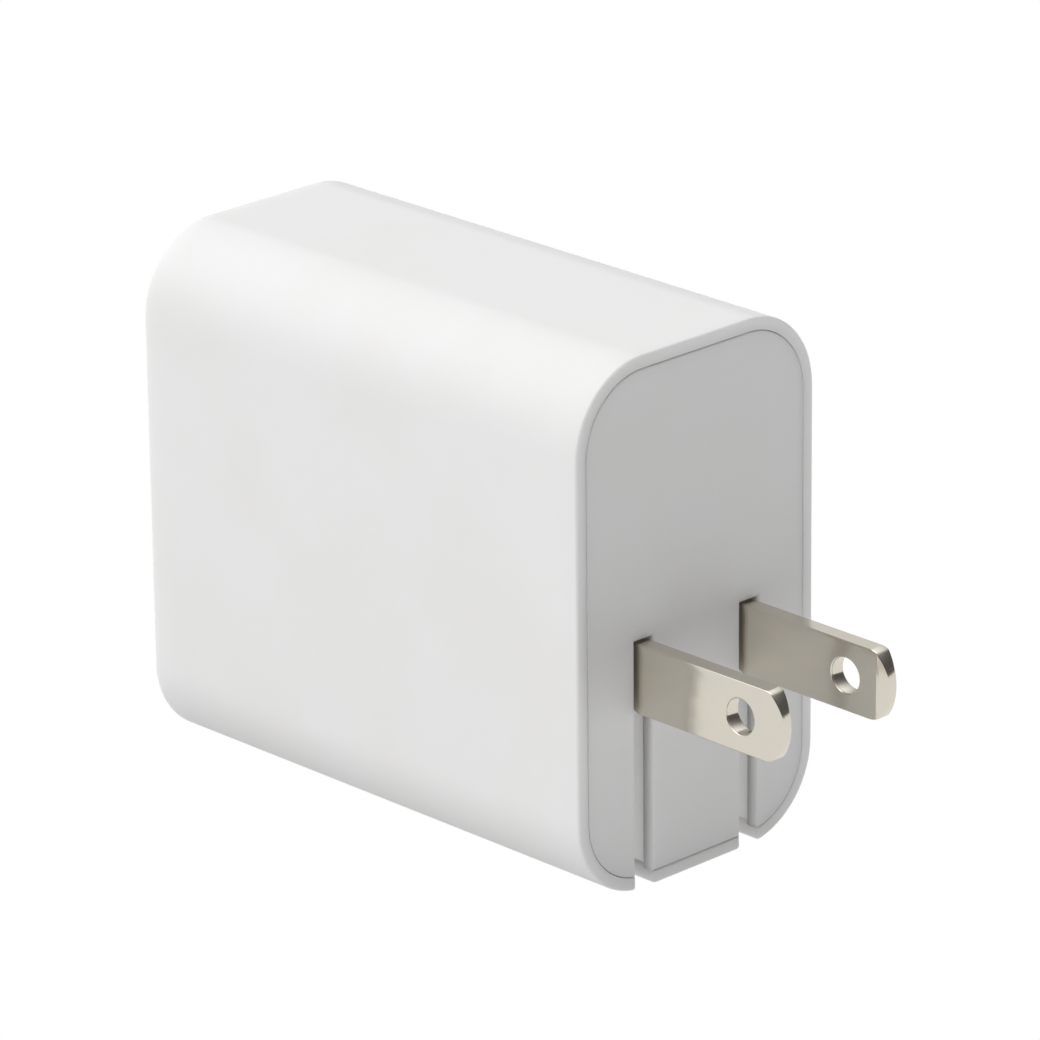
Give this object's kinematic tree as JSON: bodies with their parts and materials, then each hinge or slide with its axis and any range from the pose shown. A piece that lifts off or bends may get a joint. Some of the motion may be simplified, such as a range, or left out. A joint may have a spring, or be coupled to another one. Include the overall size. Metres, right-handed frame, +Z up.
{
  "type": "usb wall charger",
  "caption": "Compact mains charger: a rounded white case with folding flat blades on one end and low voltage sockets on the other.",
  "frame": {"origin": "middle of the wall face, halfway between the two blades", "axes": "+Y out of the wall face towards the wall, +Z up from the slots' open ends, +X across the blades"},
  "size_m": [0.0284, 0.0703, 0.0479],
  "materials": {
    "case_plastic": "white moulded plastic with a fine satin texture",
    "blade_plating": "satin nickel plate on brass",
    "axle_plastic": "natural nylon",
    "retainer_plastic": "pale grey moulded plastic",
    "screw_steel": "zinc plated",
    "spring_bronze": "bright phosphor bronze",
    "board_laminate": "green solder resist",
    "chip_plastic": "black moulded epoxy",
    "fuse_plastic": "brown moulded plastic",
    "film_box": "yellow moulded box",
    "ferrite": "sintered, matt",
    "ring_coating": "green powder coat",
    "copper_wire": "enamelled copper",
    "winding_tape": "yellow polyester tape",
    "bobbin_plastic": "black phenolic",
    "capacitor_sleeve": "shrunk black sleeve",
    "disc_coating": "blue epoxy dip",
    "capacitor_can": "drawn aluminium",
    "socket_steel": "bright nickel plated steel",
    "tongue_plastic": "black moulded plastic",
    "contact_gold": "gold flashed",
    "spreader_metal": "rolled sheet",
    "pad_silicone": "soft silicone",
    "sheet_film": "translucent film"
  },
  "bodies": {
    "charger_case": {"housing": "case_plastic", "end_cap": "case_plastic", "axle_retainer": "retainer_plastic", "retainer_screws": "screw_steel", "contact_spring_left": "spring_bronze", "contact_spring_right": "spring_bronze", "inlet_board": "board_laminate", "fuse": "fuse_plastic", "x_capacitor": "film_box", "choke_core": "ring_coating", "choke_winding": "copper_wire", "bridge_rectifier": "chip_plastic", "main_board": "board_laminate", "bulk_capacitor_lower": "capacitor_sleeve", "bulk_capacitor_upper": "capacitor_sleeve", "power_switch": "chip_plastic", "transformer_core_lower": "ferrite", "transformer_core_upper": "ferrite", "transformer_bobbin": "bobbin_plastic", "transformer_winding": "winding_tape", "y_capacitor": "disc_coating", "optocoupler": "chip_plastic", "rectifier_chip": "chip_plastic", "output_capacitor_lower": "capacitor_can", "output_capacitor_upper": "capacitor_can", "output_choke": "ferrite", "port_board": "board_laminate", "port_controller": "chip_plastic", "usb_c_shell": "socket_steel", "usb_c_tongue": "tongue_plastic", "usb_c_contacts": "contact_gold", "usb_a_shell": "socket_steel", "usb_a_tongue": "tongue_plastic", "usb_a_contacts": "contact_gold", "heat_spreader": "spreader_metal", "thermal_pad": "pad_silicone", "insulating_sheet": "sheet_film"},
    "plug_blades": {"blade_left": "blade_plating", "blade_right": "blade_plating", "blade_axle": "axle_plastic"}
  },
  "joints": [
    {"name": "blade_fold", "type": "hinge", "parent": "charger_case", "child": "plug_blades", "pos_m": [0, -0.00295, 0.0011], "axis": [-1, 0, 0], "range_deg": [0, 90]}
  ]
}
